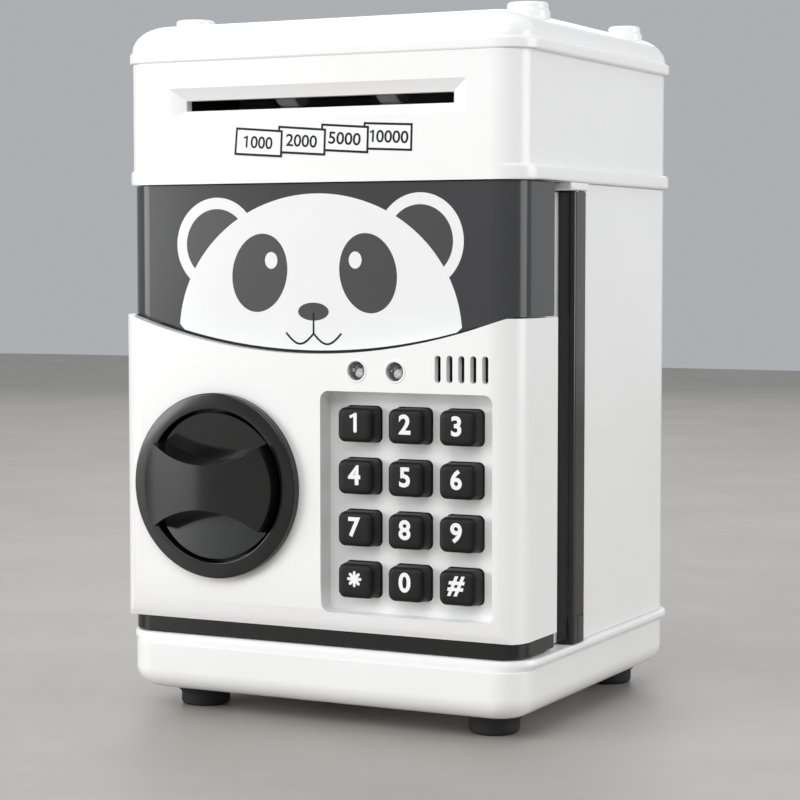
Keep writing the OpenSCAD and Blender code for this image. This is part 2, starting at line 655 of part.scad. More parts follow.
module control_board() color([0.1, 0.35, 0.2]) place() difference() {
    union() {
        block([-46, -5], [14, 15.6], [100, 138]);
        block([-34, -22], [12, 14.1], [112, 124]);
        for (i = [0:2]) rod_y(-42 + 6 * i, [10, 14.1], 106, 2);
    }
    rod_y(door_screw_at[2][0], [0, 30], door_screw_at[2][1], 5);
}

module solenoid() color([0.55, 0.55, 0.58]) place() difference() {
    block([lock_x - 6, lock_x + 6], [24.6, 33.2], [bolt_z[1] + 5, bolt_z[1] + 24]);
    rod_z(lock_x, (bolt_t[0] + bolt_t[1]) / 2, [0, 200], lock_r + running);
}

module bolt_guide() color([0.6, 0.6, 0.6]) place() difference() {
    union() {
        block([guide_x[0][0], guide_x[1][1]], [24.8, 26.6], [knob_z - 7, bolt_z[1] + 2]);
        for (g = guide_x) block(g, [26.5, 33.2], [bolt_z[0] - 4, bolt_z[1] + 2]);
    }
    block([guide_x[0][0] - eps, guide_x[1][1] + eps], [bolt_t[0] - 0.15, bolt_t[1] + 0.15],
        [bolt_z[0] - 2.2, bolt_z[1] + 0.1]);
    rod_y(knob_x, [20, 30], knob_z, shaft_r + running);
}

module door_screws() color("silver") place() for (p = door_screw_at) {
    rod_y(p[0], [door_depth, door_depth + 1.6], p[1], screw_head_r);
    rod_y(p[0], [14, door_depth + 0.1], p[1], screw_r);
}

// ---------------------------------------------------------------- knob and lock

module knob_rotor() color([0.14, 0.14, 0.15]) place() {
    difference() {
        // the grip's front is a barrel that falls back towards both ends
        intersection() {
            rod_y(knob_x, [-grip_front - eps, 1.9], knob_z, rotor_r);
            rod_z(knob_x, grip_barrel_r - grip_front, [knob_z - 2 * rotor_r, knob_z + 2 * rotor_r], grip_barrel_r);
        }
        // scoop above and below the grip: a round wall and a sloping floor
        for (s = [-1, 1]) intersection() {
            rod_y(knob_x, [-30, 10], knob_z + s * (scoop_r + grip_half), scoop_r);
            translate([knob_x, -door_proud - 2.5, knob_z + s * rotor_r]) rotate([s * 10, 0, 0])
                block([-40, 40], [-30, 0], [-40, 40]);
        }
    }
    rod_y(knob_x, [1.8, 26.7], knob_z, shaft_r);
    rod_y(knob_x, [26.6, 33], knob_z, pin_r);
}

module knob_pinion() color([0.9, 0.88, 0.8]) place() difference() {
    along(pinion_t) translate([knob_x, knob_z]) rotate(90) gear2d(pinion_teeth, rack_module, 0.12);
    rod_y(knob_x, [20, 40], knob_z, pin_r);
}

module knob_clip() color("silver") place() difference() {
    rod_y(knob_x, [4.1, 4.9], knob_z, 6.5);
    rod_y(knob_x, [0, 10], knob_z, shaft_r);
    block([knob_x - 2, knob_x + 2], [0, 10], [knob_z - 10, knob_z]);
}

module rack_tooth(x) translate([x, rack_line]) {
    w = PI * rack_module / 4 - 0.06;
    up = 1.1;
    down = 0.65 * rack_module;
    polygon([[-w - up * tan(20), up], [-w + down * tan(20), -down], [w - down * tan(20), -down],
        [w + up * tan(20), up]]);
}

module latch_bolt() color([0.85, 0.85, 0.86]) place() difference() {
    along(bolt_t) {
        translate([bolt_tip, bolt_z[0]]) square([bolt_end - bolt_tip, bolt_z[1] - bolt_z[0]]);
        for (k = [-2:4]) rack_tooth(knob_x + PI * rack_module * (k + 0.5));
    }
    for (x = [lock_x, lock_x + bolt_travel])
        block([x - 2.4, x + 2.4], [bolt_t[0] - eps, bolt_t[1] + eps], [bolt_z[1] - lock_travel + 0.2, bolt_z[1] + eps]);
}

module lock_pin() color("silver") place() {
    rod_z(lock_x, (bolt_t[0] + bolt_t[1]) / 2, [lock_tip, bolt_z[1] + 29], lock_r);
    rod_z(lock_x, (bolt_t[0] + bolt_t[1]) / 2, [bolt_z[1] + 28.4, bolt_z[1] + 29.4], 3.3);
}

module pin_spring() color("silver") place() difference() {
    rod_z(lock_x, (bolt_t[0] + bolt_t[1]) / 2, [bolt_z[1] + 24, bolt_z[1] + 28.4], 3);
    rod_z(lock_x, (bolt_t[0] + bolt_t[1]) / 2, [0, 200], 2.3);
}

// ---------------------------------------------------------------- drawing

base_tray();
cash_floor();
body_shell();
upper_housing();
lid();
feet();
battery_cover();
battery_cover_screw();
batteries();
battery_contacts();
case_screws();
feeder_deck();
feeder_frame();
feed_motor();
shaft_bushes();
coin_chute();
hinge_rod();
strike_plate();
drive_shaft();
drive_rollers();
drive_gear();
idler_shaft();
idler_rollers();
motor_shaft();
motor_pinion();
door_shell();
face_panel();
door_liner();
hinge_leaf();
hinge_bar();
knob_ring();
keypad_mat();
keypad_board();
led_left();
led_right();
speaker();
control_board();
solenoid();
bolt_guide();
door_screws();
for (i = [0:11]) key_cap(i);
knob_rotor();
knob_pinion();
knob_clip();
latch_bolt();
lock_pin();
pin_spring();
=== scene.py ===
import json
import math

import bmesh
import bpy
from mathutils import Matrix, Vector


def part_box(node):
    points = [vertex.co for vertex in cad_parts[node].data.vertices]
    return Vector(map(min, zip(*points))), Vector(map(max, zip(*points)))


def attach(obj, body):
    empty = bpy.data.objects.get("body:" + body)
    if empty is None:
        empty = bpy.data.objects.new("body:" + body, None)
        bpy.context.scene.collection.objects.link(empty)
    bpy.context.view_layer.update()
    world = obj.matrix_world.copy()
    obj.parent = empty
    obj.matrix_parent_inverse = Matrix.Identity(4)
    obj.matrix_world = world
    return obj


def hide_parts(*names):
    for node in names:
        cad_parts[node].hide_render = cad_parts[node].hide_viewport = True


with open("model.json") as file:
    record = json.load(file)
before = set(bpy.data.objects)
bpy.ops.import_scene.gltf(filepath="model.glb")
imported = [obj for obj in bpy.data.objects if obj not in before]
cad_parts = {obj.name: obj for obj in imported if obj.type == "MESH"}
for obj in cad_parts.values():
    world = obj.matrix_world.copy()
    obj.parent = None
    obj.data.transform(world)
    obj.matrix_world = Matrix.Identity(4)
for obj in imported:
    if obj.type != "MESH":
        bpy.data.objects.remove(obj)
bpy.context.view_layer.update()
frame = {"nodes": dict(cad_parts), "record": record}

MM = 0.001

# ------------------------------------------------------------------ places taken from the frame

housing_lo, housing_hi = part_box("upper_housing")
body_lo, body_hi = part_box("body_shell")
base_lo, base_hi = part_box("base_tray")
lid_lo, lid_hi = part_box("lid")
shell_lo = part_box("door_shell")[0]
panel_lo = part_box("face_panel")[0]
bar_lo, bar_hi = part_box("hinge_bar")
ring_lo, ring_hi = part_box("knob_ring")
rotor_lo, rotor_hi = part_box("knob_rotor")
feet_lo, feet_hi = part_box("feet")

FRONT = housing_lo.y                       # front plane of the cabinet
BACK = body_hi.y
HALF = body_hi.x                           # half of the cabinet's width
BEAD = housing_hi.x - HALF                 # how far the beads stand out
CORNER = 9 * MM                            # radius of the cabinet's upright edges
WALL = 2.2 * MM
PROUD = FRONT - shell_lo.y                 # how far the white door panel stands forward
BASE_TOP = body_lo.z
LIFT = BASE_TOP - 22 * MM                  # level from which the heights of prints and bosses are counted
HOUSING_Z = body_hi.z
LIP_Z = lid_lo.z + 3 * MM                  # underside of the lid's lip
PAD_H = 2.8 * MM
DOME_TOP = lid_hi.z - PAD_H
SEAM_Z = 103.9 * MM                        # lowest point of the curved seam
SEAM_R = 175.7 * MM
KNOB = Vector(((ring_lo.x + ring_hi.x) / 2, 0, (ring_lo.z + ring_hi.z) / 2))


def middle(node):
    low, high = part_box(node)
    return (low + high) / 2


SLOT_Z = (middle("drive_rollers").z + middle("idler_rollers").z) / 2
SLOT_W = 84.4 * MM
SLOT_H = 3 * MM
HINGE_X = 61.4 * MM
HINGE_Y = FRONT + 40.5 * MM
ROD_R = 1.35 * MM                          # hole for the hinge rod
COAT = 0.02 * MM                           # room that one coat of print takes
PRINT = COAT * 0.9                         # thickness of a coat

# ------------------------------------------------------------------ materials


def node_material(name):
    mat = bpy.data.materials.new(name)
    mat.use_nodes = True
    tree = mat.node_tree
    shader = tree.nodes["Principled BSDF"]
    return mat, tree, shader


def noise(tree, scale, detail):
    coords = tree.nodes.new("ShaderNodeTexCoord")
    tex = tree.nodes.new("ShaderNodeTexNoise")
    tex.inputs["Scale"].default_value = scale
    tex.inputs["Detail"].default_value = detail
    tree.links.new(coords.outputs["Object"], tex.inputs["Vector"])
    return tex.outputs["Fac"]


def ramp(tree, source, low, high):
    """Maps a 0 to 1 value to the range low to high."""
    node = tree.nodes.new("ShaderNodeMapRange")
    node.inputs["To Min"].default_value = low
    node.inputs["To Max"].default_value = high
    tree.links.new(source, node.inputs["Value"])
    return node.outputs["Result"]


def two_colours(tree, source, low, high):
    node = tree.nodes.new("ShaderNodeValToRGB")
    node.color_ramp.elements[0].position = 0.35
    node.color_ramp.elements[1].position = 0.65
    node.color_ramp.elements[0].color = (*low, 1)
    node.color_ramp.elements[1].color = (*high, 1)
    tree.links.new(source, node.inputs["Fac"])
    return node.outputs["Color"]


def bump(tree, source, strength, distance):
    node = tree.nodes.new("ShaderNodeBump")
    node.inputs["Strength"].default_value = strength
    node.inputs["Distance"].default_value = distance
    tree.links.new(source, node.inputs["Height"])
    return node.outputs["Normal"]


def plastic(name, low, high, rough, grain, grain_depth, coat=0.0, ior=1.5):
    """Moulded plastic or rubber: faint tone changes, uneven gloss and a fine surface grain."""
    mat, tree, shader = node_material(name)
    tree.links.new(two_colours(tree, noise(tree, 14, 4), low, high), shader.inputs["Base Color"])
    tree.links.new(ramp(tree, noise(tree, 60, 5), rough[0], rough[1]), shader.inputs["Roughness"])
    tree.links.new(bump(tree, noise(tree, grain, 4), 0.25, grain_depth), shader.inputs["Normal"])
    shader.inputs["IOR"].default_value = ior
    shader.inputs["Coat Weight"].default_value = coat
    shader.inputs["Coat Roughness"].default_value = 0.04
    return mat


def metal(name, low, high, rough, stretch):
    """Drawn or brushed metal with fine streaks."""
    mat, tree, shader = node_material(name)
    coords = tree.nodes.new("ShaderNodeTexCoord")
    mapping = tree.nodes.new("ShaderNodeMapping")
    mapping.inputs["Scale"].default_value = stretch
    streaks = tree.nodes.new("ShaderNodeTexNoise")
    streaks.inputs["Scale"].default_value = 90
    streaks.inputs["Detail"].default_value = 4
    tree.links.new(coords.outputs["Object"], mapping.inputs["Vector"])
    tree.links.new(mapping.outputs["Vector"], streaks.inputs["Vector"])
    fac = streaks.outputs["Fac"]
    tree.links.new(two_colours(tree, fac, low, high), shader.inputs["Base Color"])
    tree.links.new(ramp(tree, fac, rough[0], rough[1]), shader.inputs["Roughness"])
    tree.links.new(bump(tree, fac, 0.15, 0.00002), shader.inputs["Normal"])
    shader.inputs["Metallic"].default_value = 1.0
    return mat


def clear_lens(name):
    mat, tree, shader = node_material(name)
    tree.links.new(ramp(tree, noise(tree, 120, 3), 0.02, 0.07), shader.inputs["Roughness"])
    shader.inputs["Base Color"].default_value = (0.95, 0.97, 0.97, 1)
    shader.inputs["Transmission Weight"].default_value = 0.95
    shader.inputs["IOR"].default_value = 1.5
    return mat


# Each plastic: darker and lighter tone, range of roughness, grain scale and grain depth in metres.
white = plastic("white_abs", (0.89, 0.89, 0.885), (0.92, 0.92, 0.915), (0.2, 0.28), 900, 0.00001,
                coat=0.12)
inner_white = plastic("white_abs_inside", (0.8, 0.8, 0.79), (0.85, 0.85, 0.84), (0.34, 0.45), 1200,
                      0.00002)
panel_grey = plastic("panel_grey", (0.046, 0.046, 0.048), (0.054, 0.054, 0.056), (0.14, 0.2), 700,
                     0.000006, ior=1.42)
print_grey = plastic("print_grey", (0.058, 0.058, 0.06), (0.066, 0.066, 0.068), (0.2, 0.28), 700,
                     0.000006, ior=1.42)
black = plastic("black_abs", (0.005, 0.005, 0.0054), (0.008, 0.008, 0.0085), (0.1, 0.17), 800,
                0.00001, coat=0.1)
key_rubber = plastic("key_silicone", (0.006, 0.006, 0.006), (0.009, 0.009, 0.009), (0.4, 0.52), 2600,
                     0.00003, ior=1.33)
foot_rubber = plastic("foot_rubber", (0.012, 0.012, 0.013), (0.022, 0.022, 0.023), (0.6, 0.78), 2000,
                      0.00005)
roller_rubber = plastic("roller_rubber", (0.78, 0.78, 0.78), (0.85, 0.85, 0.85), (0.5, 0.65), 1800,
                        0.00005)
# pale ink for key legends and note cards; the same material also makes the LED chips that serve as painted
# highlights
pale_ink_and_highlight = plastic("legend_ink_and_painted_highlight", (0.86, 0.86, 0.86), (0.92, 0.92, 0.92), (0.4, 0.5), 1500, 0.00001)
panel_white = plastic("panel_white_ink", (0.84, 0.84, 0.84), (0.88, 0.88, 0.88), (0.14, 0.2), 700,
                      0.000006, coat=0.3)
# black ink for the prints; the same material also paints the shade in the seam gap and in the LED holes
black_ink_and_shade = plastic("black_ink_and_painted_shade", (0.004, 0.004, 0.004), (0.007, 0.007, 0.007), (0.35, 0.45), 1500, 0.00001,
              ior=1.3)
guide_grey = plastic("acetal", (0.24, 0.24, 0.25), (0.3, 0.3, 0.31), (0.35, 0.45), 1500, 0.00002)
nylon = plastic("nylon", (0.7, 0.68, 0.6), (0.78, 0.76, 0.68), (0.35, 0.5), 1500, 0.00003)
board = plastic("solder_mask", (0.02, 0.13, 0.06), (0.03, 0.18, 0.09), (0.25, 0.35), 1800, 0.00002)
cell_skin = plastic("cell_sleeve", (0.07, 0.16, 0.36), (0.09, 0.2, 0.42), (0.2, 0.3), 900, 0.00001,
                    coat=0.3)
cone = plastic("paper_cone", (0.04, 0.04, 0.04), (0.06, 0.06, 0.06), (0.7, 0.85), 3000, 0.00006)
steel = metal("steel", (0.5, 0.5, 0.51), (0.62, 0.62, 0.63), (0.22, 0.36), (1, 1, 14))
can = metal("drawn_can", (0.45, 0.45, 0.46), (0.55, 0.55, 0.56), (0.3, 0.42), (12, 1, 1))
brass = metal("brass", (0.55, 0.4, 0.17), (0.66, 0.5, 0.23), (0.25, 0.38), (6, 1, 1))
lens = clear_lens("led_lens")

# ------------------------------------------------------------------ mesh tools


def new_object(name, verts, faces):
    mesh = bpy.data.meshes.new(name)
    mesh.from_pydata([tuple(v) for v in verts], [], faces)
    mesh.validate()
    obj = bpy.data.objects.new(name, mesh)
    bpy.context.scene.collection.objects.link(obj)
    bm = bmesh.new()
    bm.from_mesh(mesh)
    bmesh.ops.remove_doubles(bm, verts=bm.verts, dist=1e-7)
    bmesh.ops.recalc_face_normals(bm, faces=bm.faces)
    bm.to_mesh(mesh)
    bm.free()
    return obj


def loft(name, rings, caps=True):
    """Closed rings of equal length joined by quads, with a cap at each end."""
    count = len(rings[0])
    verts = [p for ring in rings for p in ring]
    faces = []
    for k in range(len(rings) - 1):
        a = k * count
        b = a + count
        for i in range(count):
            j = (i + 1) % count
            faces.append((a + i, a + j, b + j, b + i))
    if caps:
        faces.append(tuple(range(count))[::-1])
        faces.append(tuple(range(len(verts) - count, len(verts))))
    return new_object(name, verts, faces)


def quarter(steps):
    """Angles from 0 to a quarter turn."""
    return [math.radians(90 * i / steps) for i in range(steps + 1)]


def corner_points(cx, cy, radius, start, steps):
    return [(cx + radius * math.cos(math.radians(start + 90 * i / steps)),
             cy + radius * math.sin(math.radians(start + 90 * i / steps))) for i in range(steps + 1)]


def rounded_outline(x0, x1, y0, y1, radius, steps=12, back=None):
    """Rounded rectangle, anticlockwise. The two corners at y1 may have a radius of their own."""
    back = radius if back is None else back
    points = corner_points(x1 - back, y1 - back, back, 0, steps)
    points += corner_points(x0 + back, y1 - back, back, 90, steps)
    points += corner_points(x0 + radius, y0 + radius, radius, 180, steps)
    points += corner_points(x1 - radius, y0 + radius, radius, 270, steps)
    return points


def at_z(points, z):
    return [Vector((x, y, z)) for x, y in points]


def at_y(points, y):
    return [Vector((x, y, z)) for x, z in points]


def stack(name, levels, steps=12):
    """Upright shell: each level is (z, half width, front y, back y, corner radius[, back radius])."""
    rings = []
    for level in levels:
        z, x, y0, y1, radius = level[:5]
        back = level[5] if len(level) > 5 else None
        rings.append(at_z(rounded_outline(-x, x, y0, y1, radius, steps, back), z))
    return loft(name, rings)


def block(name, lo, hi):
    return loft(name, [at_z([(lo[0], lo[1]), (hi[0], lo[1]), (hi[0], hi[1]), (lo[0], hi[1])], z)
                       for z in (lo[2], hi[2])])


def prism_y(name, outline, y0, y1):
    """Outline in x and z, extruded from y0 to y1."""
    return loft(name, [at_y(outline, y0), at_y(outline, y1)])


def lathe(name, profile, centre, steps=96, axis="Y"):
    """Profile of (radius, place along the axis), turned round the Y or Z axis through centre."""
    rings = []
    for radius, place in profile:
        ring = []
        for i in range(steps):
            a = 2 * math.pi * i / steps
            u, v = max(radius, 1e-6) * math.cos(a), max(radius, 1e-6) * math.sin(a)
            if axis == "Y":
                ring.append(Vector((centre[0] + u, place, centre[2] + v)))
            else:
                ring.append(Vector((centre[0] + u, centre[1] + v, place)))
        rings.append(ring)
    return loft(name, rings)


def hoop(name, profile, centre, steps):
    """Closed profile of (radius, y), turned round the Y axis through centre."""
    rings = []
    for radius, y in profile:
        turns = [2 * math.pi * i / steps for i in range(steps)]
        rings.append([Vector((centre.x + radius * math.cos(a), y, centre.z + radius * math.sin(a)))
                      for a in turns])
    rings.append(rings[0])
    return loft(name, rings, caps=False)


def post(name, radius, z0, z1, centre, steps=40):
    return lathe(name, [(radius, z0), (radius, z1)], centre, steps, "Z")


def boolean(obj, others, operation="DIFFERENCE"):
    """Cuts or joins the other objects, which are used up."""
    for other in others:
        mod = obj.modifiers.new("bool", "BOOLEAN")
        mod.operation = operation
        mod.solver = "EXACT"
        mod.object = other
        bpy.context.view_layer.update()
        evaluated = obj.evaluated_get(bpy.context.evaluated_depsgraph_get())
        mesh = bpy.data.meshes.new_from_object(evaluated)
        obj.modifiers.clear()
        old = obj.data
        obj.data = mesh
        bpy.data.meshes.remove(old)
        bpy.data.objects.remove(other)
    bm = bmesh.new()
    bm.from_mesh(obj.data)
    bmesh.ops.remove_doubles(bm, verts=bm.verts, dist=2e-6)
    bmesh.ops.dissolve_degenerate(bm, edges=bm.edges, dist=2e-6)
    bm.to_mesh(obj.data)
    bm.free()
    return obj


def smooth(obj, crease=None):
    """Smooth shading, with a crease where faces meet at more than that many degrees."""
    obj.data.polygons.foreach_set("use_smooth", [True] * len(obj.data.polygons))
    if crease:
        obj.data.set_sharp_from_angle(angle=math.radians(crease))


def round_edges(obj, width, segments=3, angle=32):
    """Bevels every edge sharper than the angle, keeps flat faces flat and returns both modifiers."""
    bevel = obj.modifiers.new("bevel", "BEVEL")
    bevel.width = width
    bevel.segments = segments
    bevel.limit_method = "ANGLE"
    bevel.angle_limit = math.radians(angle)
    even = obj.modifiers.new("even", "WEIGHTED_NORMAL")
    even.weight = 90
    return bevel, even


def soften(obj, width, segments=3, angle=32):
    """Smooth shading and rounded edges for a piece made here."""
    smooth(obj)
    bevel, even = round_edges(obj, width, segments, angle)
    bevel.miter_outer = "MITER_ARC"
    even.keep_sharp = True


def finish_piece(obj, body, mat, replaces=()):
    obj.data.materials.clear()
    obj.data.materials.append(mat)
    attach(obj, body)
    if replaces:
        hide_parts(*replaces)
    return obj


# ------------------------------------------------------------------ cabinet


def base_tray():
    fillet = 6 * MM
    corner_share = 0.55                    # how much of the fillet's inset comes off the corner radius
    levels = []
    for a in quarter(8):
        inset = fillet * (1 - math.sin(a))
        z = base_lo.z + fillet * (1 - math.cos(a))
        levels.append((z, HALF - inset, FRONT + inset, BACK - inset, CORNER - inset * corner_share))
    top = BASE_TOP
    # bead at the top: mm below the top, share of the bead, mm that the front leans back
    bead = ((3.4, 0, 0), (3.3, 0, 0.3), (2.9, 0.15, 0.34), (2.3, 0.55, 0.4), (1.9, 0.9, 0.45),
            (1.5, 1, 0.5), (0.7, 1, 0.7), (0.25, 0.85, 1), (0, 0.5, 1.4))
    for down, out, lean in bead:
        levels.append((top - down * MM, HALF + BEAD * out, FRONT + lean * MM, BACK + BEAD * out,
                       CORNER + BEAD * out))
    tray = stack("base_shell", levels)
    inside = HALF - WALL
    floor = base_lo.z + WALL
    boolean(tray, [stack("cut", [(floor, inside, FRONT + WALL, BACK - WALL, CORNER - WALL),
                                 (top + 2 * MM, inside, FRONT + WALL, BACK - WALL, CORNER - WALL)])])
    bay_x, bay_y = 27.5 * MM, (FRONT + 48.5 * MM, FRONT + 93.5 * MM)
    side = 2 * MM
    boss_r, pilot_r, shank_r, head_r = 3.6 * MM, 1.5 * MM, 1.6 * MM, 3.1 * MM
    solids = [block("bay", (-bay_x - side, bay_y[0] - side, floor - MM),
                    (bay_x + side, bay_y[1] + side, base_hi.z)),
              block("hinge_block", (56 * MM, FRONT + 36 * MM, base_lo.z + fillet + 0.1 * MM),
                    (HALF - 0.1 * MM, FRONT + 45 * MM, top))]
    screws = [(x * MM, FRONT + t * MM, 0) for x, t in ((-56, 34), (56, 54), (-56, 90), (56, 90))]
    cover_screw = (0, FRONT + 98.8 * MM, 0)
    solids += [post("boss", boss_r, floor - MM, top - 2 * MM, place) for place in screws]
    solids.append(post("boss", boss_r, floor - MM, LIFT + 17 * MM, cover_screw))
    boolean(tray, solids, "UNION")
    cover_lo, cover_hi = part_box("battery_cover")
    clear = 0.3 * MM
    cuts = [block("cut", (-bay_x, bay_y[0], 0), (bay_x, bay_y[1], base_hi.z - 1.6 * MM)),
            block("cut", (cover_lo.x - clear, cover_lo.y - clear, 0),
                  (cover_hi.x + clear, cover_hi.y + clear, cover_hi.z)),
            post("cut", pilot_r, 0, LIFT + 15 * MM, cover_screw),
            post("cut", ROD_R, LIFT + 13.4 * MM, top + MM, (HINGE_X, HINGE_Y, 0))]
    cuts += [post("cut", shank_r, 0, top + MM, place) for place in screws]
    cuts += [post("cut", head_r, 0, LIFT + 9.4 * MM, place) for place in screws]
    boolean(tray, cuts)
    soften(tray, 0.2 * MM, 2)
    return finish_piece(tray, "cabinet", white, ["base_tray"])


def bead_levels(z, height, x, y0, y1, radius, out):
    """A rounded bead: levels of a stack that swell by out over the given height."""
    return [(z + height * s, x + out * k, y0, y1 + out * k, radius + out * k)
            for s, k in ((0, 0.5), (0.07, 0.85), (0.2, 1), (0.8, 1), (0.93, 0.85), (1, 0.5))]


def upper_housing():
    bead_h = 4 * MM
    front_wall = 5 * MM
    levels = bead_levels(HOUSING_Z, bead_h, HALF, FRONT, BACK, CORNER, BEAD)
    levels.append((HOUSING_Z + bead_h + 0.15 * MM, HALF, FRONT, BACK, CORNER))
    levels.append((LIP_Z, HALF, FRONT, BACK, CORNER))
    shell = stack("housing_shell", levels)
    inside = HALF - WALL
    boolean(shell, [stack("cut", [(z, inside, FRONT + front_wall, BACK - WALL, CORNER - WALL)
                                  for z in (HOUSING_Z - MM, LIP_Z + MM)])])
    half, tall = SLOT_W / 2, SLOT_H / 2
    boolean(shell, [block("cut", (-half, FRONT - MM, SLOT_Z - tall),
                          (half, FRONT + front_wall + 2 * MM, SLOT_Z + tall))])
    # bevel round the slot: mm behind the front, and mm past the slot at the sides, top and bottom
    mouth = []
    for y, side, up, down in ((-0.4, 5.9, 4.13, 3.07), (2.2, 0, 0, 0)):
        x = half + side * MM
        outline = rounded_outline(-x, x, SLOT_Z - tall - down * MM, SLOT_Z + tall + up * MM, 0.3 * MM, 2)
        mouth.append(at_y(outline, FRONT + y * MM))
    boolean(shell, [loft("cut", mouth)])
    soften(shell, 0.35 * MM, 3)
    ear = block("ear", (57 * MM, FRONT + 31 * MM, HOUSING_Z - 2.3 * MM),
                (HALF + BEAD, FRONT + 43.5 * MM, HOUSING_Z + 0.05 * MM))
    soften(ear, 0.6 * MM, 3)
    finish_piece(ear, "cabinet", white)
    return finish_piece(shell, "cabinet", white, ["upper_housing"])


def lid_pad(x, y, r):
    """Round pad with a flared foot that is sunk into the dome."""
    top = lid_hi.z
    flare = 0.5 * MM
    round_off = 0.9 * MM
    profile = [(0, top - 9 * MM), (r + flare, top - 9 * MM), (r + flare, top - 2.6 * MM),
               (r + 0.1 * MM, top - 2.2 * MM), (r, top - 1.6 * MM)]
    for a in quarter(5):
        profile.append((r - round_off * (1 - math.cos(a)), top - round_off * (1 - math.sin(a))))
    profile.append((0, top))
    return lathe("pad", profile, (x, y, 0), 48, "Z")


def lid():
    lip = 3.3 * MM
    levels = [(LIP_Z, HALF + BEAD * 0.75, FRONT - 0.1 * MM, BACK + BEAD * 0.75, CORNER + BEAD)]
    for s, k in ((0.1, 0.95), (0.2, 1), (0.72, 1), (0.88, 0.9), (1, 0.55)):
        levels.append((LIP_Z + lip * s, HALF + BEAD * k, FRONT - 0.4 * MM * k, BACK + BEAD * k,
                       CORNER + BEAD * k))
    side, rear = HALF + 0.3 * MM, BACK + 0.3 * MM
    crown = 0.6 * MM                       # rise of the flat top towards its middle
    rise = DOME_TOP - LIP_Z - lip - crown
    edge = 9 * MM
    top_corner = 4 * MM
    for a in quarter(12):
        inset = edge * (1 - math.cos(a))
        z = LIP_Z + lip + 0.1 * MM + rise * math.sin(a)
        levels.append((z, side - inset, FRONT + inset, rear - inset,
                       max(CORNER - inset * 0.5, top_corner)))
    for inset, z in ((14, 0.3), (22, 0.45), (34, 0.5)):
        levels.append((DOME_TOP - crown + z * MM, side - inset * MM, FRONT + inset * MM,
                       rear - inset * MM, top_corner))
    dome = stack("lid_dome", levels, 16)
    inside = HALF - WALL
    hollow = [(LIP_Z - MM, inside, FRONT + WALL, BACK - WALL, CORNER - WALL),
              (LIP_Z + 4.5 * MM, inside - MM, FRONT + WALL + MM, BACK - WALL - MM, CORNER - WALL),
              (LIP_Z + 7.6 * MM, inside - 8 * MM, FRONT + 12 * MM, BACK - 11 * MM, top_corner)]
    boolean(dome, [stack("cut", hollow)])
    pad_x = 53.5
    front_pad, back_pad = (25.5, 5.7 * MM), (98.5, 4.8 * MM)
    boolean(dome, [lid_pad(x * MM, FRONT + t * MM, r) for x in (-pad_x, pad_x)
                   for t, r in (front_pad, back_pad)], "UNION")
    coin_y = middle("coin_chute").y
    coin_half, coin_gap = 18 * MM, 1.8 * MM
    boolean(dome, [block("cut", (-coin_half, coin_y - coin_gap, LIP_Z),
                         (coin_half, coin_y + coin_gap, lid_hi.z + MM))])
    soften(dome, 0.5 * MM, 3, 40)
    return finish_piece(dome, "cabinet", white, ["lid"])


def feet():
    lo, hi = feet_lo, feet_hi
    flare, r = 8.2 * MM, 7.2 * MM
    profile = [(0, hi.z), (flare, hi.z), (flare, hi.z - 1.4 * MM), (8 * MM, hi.z - 2 * MM),
               (7.5 * MM, hi.z - 2.4 * MM), (r, hi.z - 3 * MM), (r, 1.1 * MM), (6.9 * MM, 0.4 * MM),
               (6.3 * MM, 0), (3.4 * MM, 0), (3.1 * MM, 0.5 * MM), (0, 0.5 * MM)]
    made = []
    for x in (lo.x + flare, hi.x - flare):
        for y in (lo.y + flare, hi.y - flare):
            foot = lathe("foot_%d" % (len(made) + 1), profile, (x, y, 0), 48, "Z")
            smooth(foot, 50)
            finish_piece(foot, "cabinet", foot_rubber)
            made.append(foot)
    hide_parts("feet")


base_tray()
upper_housing()
lid()
feet()

# ------------------------------------------------------------------ door


def seam_height(x):
    return SEAM_Z + SEAM_R - math.sqrt(SEAM_R ** 2 - x ** 2)


def hinge_bar():
    lo, hi = bar_lo, bar_hi
    r = (hi.x - lo.x) / 2
    mid_y = hi.y - r
    nose = 1.5 * MM
    back_arc = [math.pi * i / 16 for i in range(16, -1, -1)]
    outline = [(lo.x + r - r * math.cos(a), mid_y + r * math.sin(a)) for a in back_arc]
    outline += [(lo.x, lo.y + 0.4 * MM), (lo.x + 0.4 * MM, lo.y)]
    outline += [(hi.x - nose + nose * math.sin(a), lo.y + nose - nose * math.cos(a)) for a in quarter(8)]
    bar = loft("hinge_bar_cover", [at_z(outline, lo.z), at_z(outline, hi.z)])
    groove, deep = 0.3 * MM, 0.35 * MM
    high = lo.z + 7.7 * MM
    side = lo.y + 3.4 * MM
    cuts = [block("cut", (hi.x - deep, side, lo.z - MM), (hi.x + MM, side + groove, high)),
            block("cut", (hi.x - deep, side, high - groove), (hi.x + MM, mid_y + 0.2 * MM, high)),
            post("cut", ROD_R, lo.z - MM, hi.z + MM, (HINGE_X, mid_y, 0))]
    boolean(bar, cuts)
    soften(bar, 0.12 * MM, 2, 40)
    return finish_piece(bar, "door", black, ["hinge_bar"])


def knob_ring():
    front = FRONT - PROUD
    face = front - 2.8 * MM
    back = FRONT + 4 * MM
    r = (ring_hi.x - ring_lo.x) / 2
    cup, cup_floor = 21.8 * MM, FRONT + 2.2 * MM
    bore = 4.05 * MM
    edge, lip = 0.6 * MM, 0.25 * MM
    profile = [(r - 3 * MM, back), (r - 3 * MM, front), (r, front)]
    for a in quarter(6):
        profile.append((r - edge * (1 - math.cos(a)), face + edge * (1 - math.sin(a))))
    profile.append((cup + lip + 0.1 * MM, face))
    for a in quarter(4):
        profile.append((cup + lip * (1 - math.sin(a)), face + lip * (1 - math.cos(a))))
    profile += [(cup, cup_floor), (bore, cup_floor), (bore, back)]
    ring = hoop("knob_bezel", profile, KNOB, 128)
    smooth(ring, 50)
    return finish_piece(ring, "door", black, ["knob_ring"])


